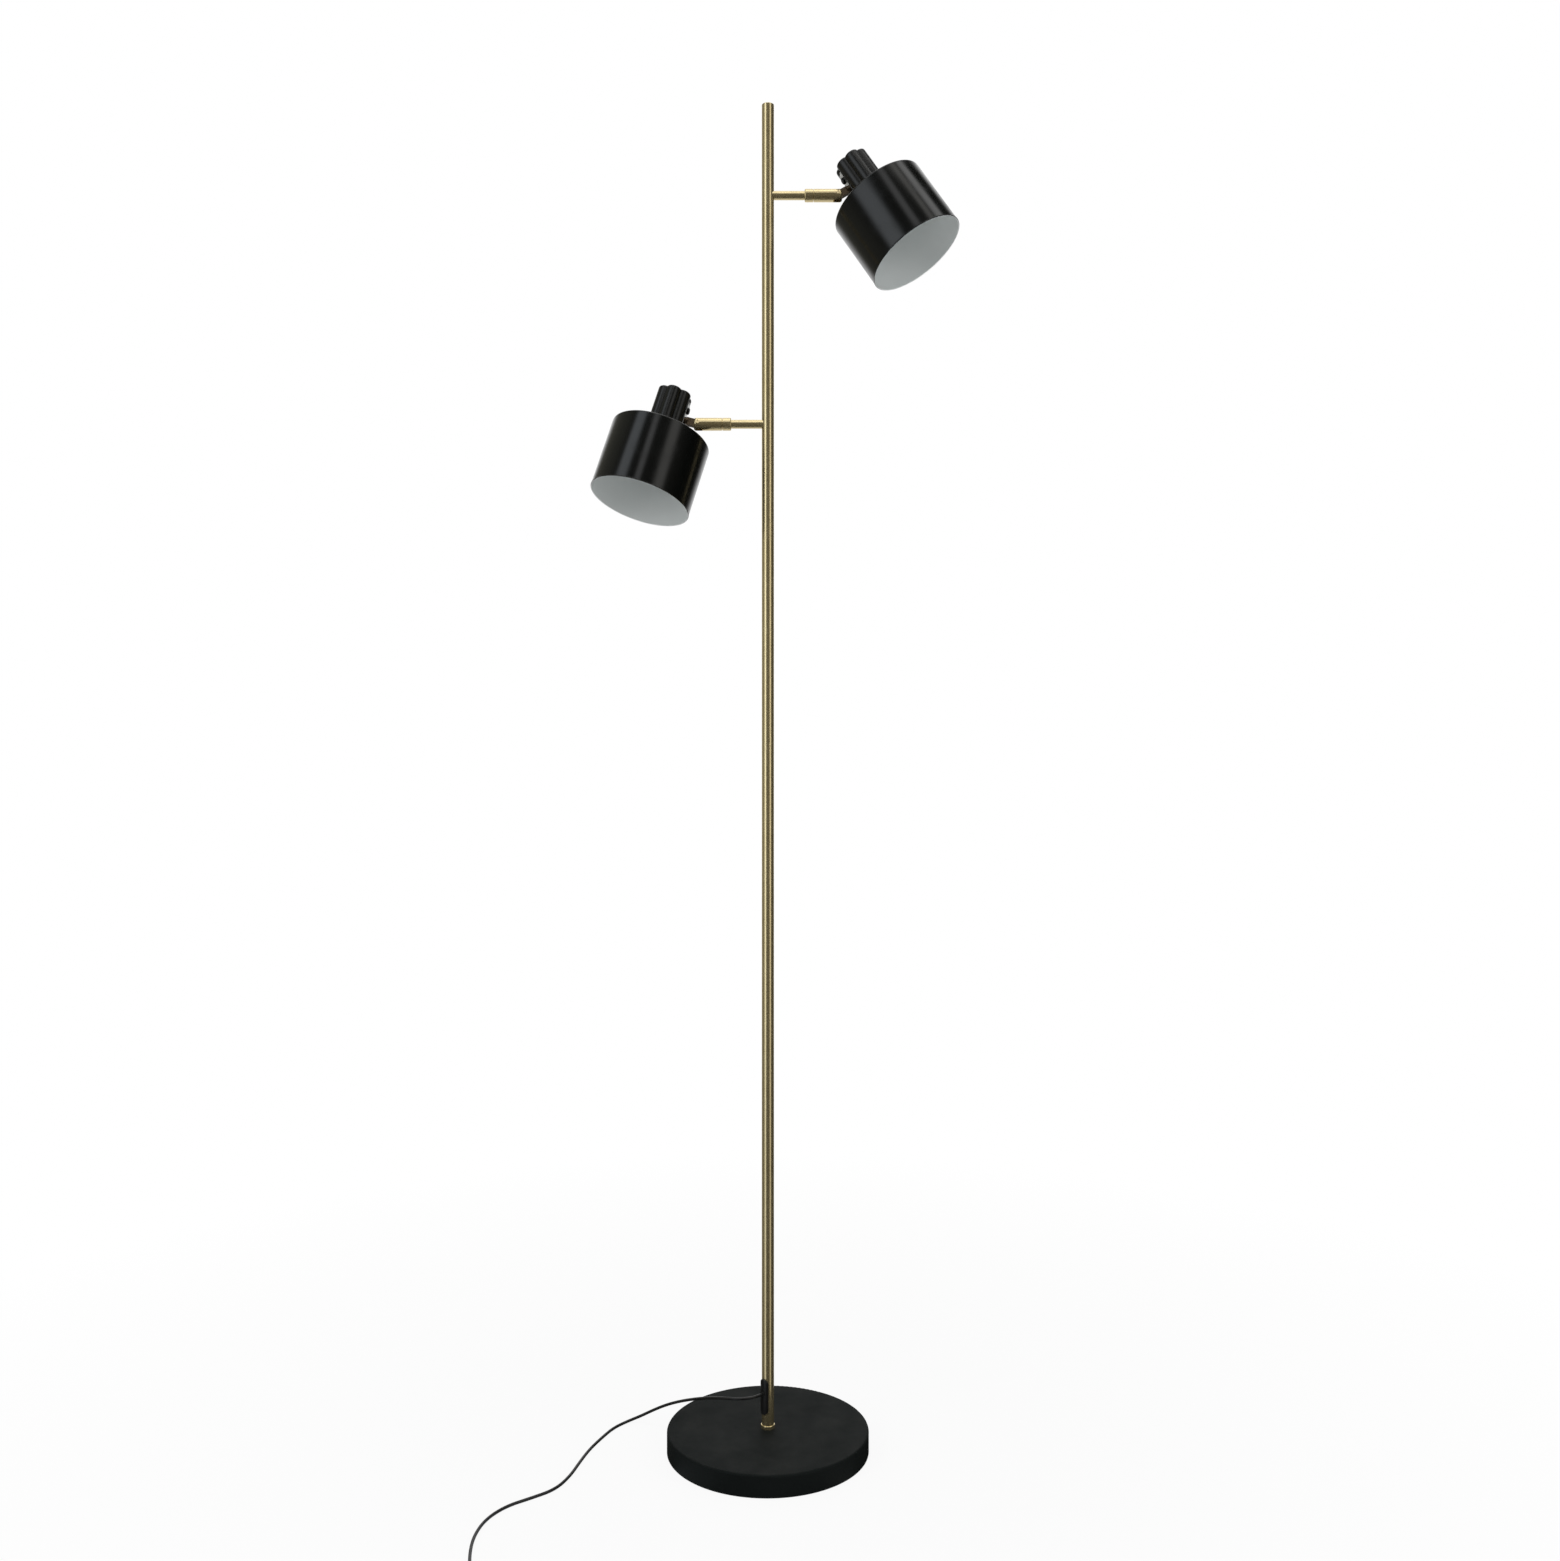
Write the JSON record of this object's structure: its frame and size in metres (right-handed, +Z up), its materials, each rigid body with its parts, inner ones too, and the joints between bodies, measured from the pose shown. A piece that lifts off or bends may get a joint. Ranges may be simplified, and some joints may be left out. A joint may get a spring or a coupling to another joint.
{
  "type": "two-spot floor lamp",
  "caption": "Floor lamp: slim brass pole in a round black weighted base, side arms with swivelling and tilting black spot heads, cord with foot switch and plug.",
  "frame": {"origin": "on the floor, under the pole's axis", "axes": "+Z up along the pole, +X towards the upper head, -Y towards the side that the shades face a little"},
  "size_m": [0.513, 0.4477, 1.535],
  "materials": {
    "base_paint": "matt black fine-grained paint",
    "cast_iron": "raw casting",
    "floor_pad": "soft foam rubber",
    "plated_steel": "zinc plated",
    "blackened_steel": "blackened",
    "brass": "satin, lacquered",
    "dark_bronze": "dark patina",
    "outlet_plastic": "moulded",
    "cover_plastic": "polished moulding",
    "shade_enamel": "gloss black outside, light grey inside",
    "holder_plastic": "moulded",
    "thread_brass": "bright",
    "lead_sheath": "plain",
    "cord_sheath": "smooth flexible sheath",
    "switch_plastic": "moulded",
    "button_plastic": "moulded",
    "pin_nickel": "nickel plated"
  },
  "bodies": {
    "stand": {"base_shell": "base_paint", "base_weight": "cast_iron", "base_pad": "floor_pad", "base_washer": "plated_steel", "base_nut": "plated_steel", "base_nipple": "plated_steel", "pole_lower_tube": "brass", "pole_middle_tube": "brass", "pole_upper_tube": "brass", "pole_ferrule": "brass", "pole_cap": "brass", "pole_bushes": "brass", "pole_nipples": "plated_steel", "cable_outlet": "outlet_plastic", "upper_arm": "brass", "upper_collar": "brass", "upper_snap_ring": "blackened_steel", "lower_arm": "brass", "lower_collar": "brass", "lower_snap_ring": "blackened_steel", "upper_lead": "lead_sheath", "lower_lead": "lead_sheath", "switch_base": "switch_plastic", "switch_cover": "switch_plastic", "plug_body": "cord_sheath", "plug_pins": "pin_nickel", "cord_run": "cord_sheath", "cord_coil": "cord_sheath", "cord_link": "cord_sheath", "cord_tail": "cord_sheath"},
    "upper_barrel": {"upper_barrel": "brass", "upper_pivot_pin": "brass"},
    "upper_head": {"upper_knuckle": "dark_bronze", "upper_knuckle_nut": "plated_steel", "upper_strap": "plated_steel", "upper_cover_screw": "blackened_steel", "upper_cover": "cover_plastic", "upper_shade": "shade_enamel", "upper_lamp_holder": "holder_plastic", "upper_thread_shell": "thread_brass", "upper_holder_nipple": "plated_steel", "upper_holder_nut": "plated_steel", "upper_shade_ring": "holder_plastic"},
    "lower_barrel": {"lower_barrel": "brass", "lower_pivot_pin": "brass"},
    "lower_head": {"lower_knuckle": "dark_bronze", "lower_knuckle_nut": "plated_steel", "lower_strap": "plated_steel", "lower_cover_screw": "blackened_steel", "lower_cover": "cover_plastic", "lower_shade": "shade_enamel", "lower_lamp_holder": "holder_plastic", "lower_thread_shell": "thread_brass", "lower_holder_nipple": "plated_steel", "lower_holder_nut": "plated_steel", "lower_shade_ring": "holder_plastic"},
    "switch_button": {"switch_button": "button_plastic"}
  },
  "joints": [
    {"name": "upper_swivel", "type": "hinge", "parent": "stand", "child": "upper_barrel", "pos_m": [0.06, 0, 1.4313], "axis": [1, 0, 0], "range_deg": [-165, 165]},
    {"name": "upper_tilt", "type": "hinge", "parent": "upper_barrel", "child": "upper_head", "pos_m": [0.0802, 0, 1.4313], "axis": [0, -0.9767, 0.2147], "range_deg": [-52, 57]},
    {"name": "lower_swivel", "type": "hinge", "parent": "stand", "child": "lower_barrel", "pos_m": [-0.06, 0, 1.1702], "axis": [-1, 0, 0], "range_deg": [-165, 165]},
    {"name": "lower_tilt", "type": "hinge", "parent": "lower_barrel", "child": "lower_head", "pos_m": [-0.0802, 0, 1.1702], "axis": [0, 0.9703, -0.2419], "range_deg": [-35, 74]},
    {"name": "switch_press", "type": "slide", "parent": "stand", "child": "switch_button", "axis": [0, 0, -1], "range_m": [0, 0.0035], "stiffness_N_per_m": 400}
  ]
}
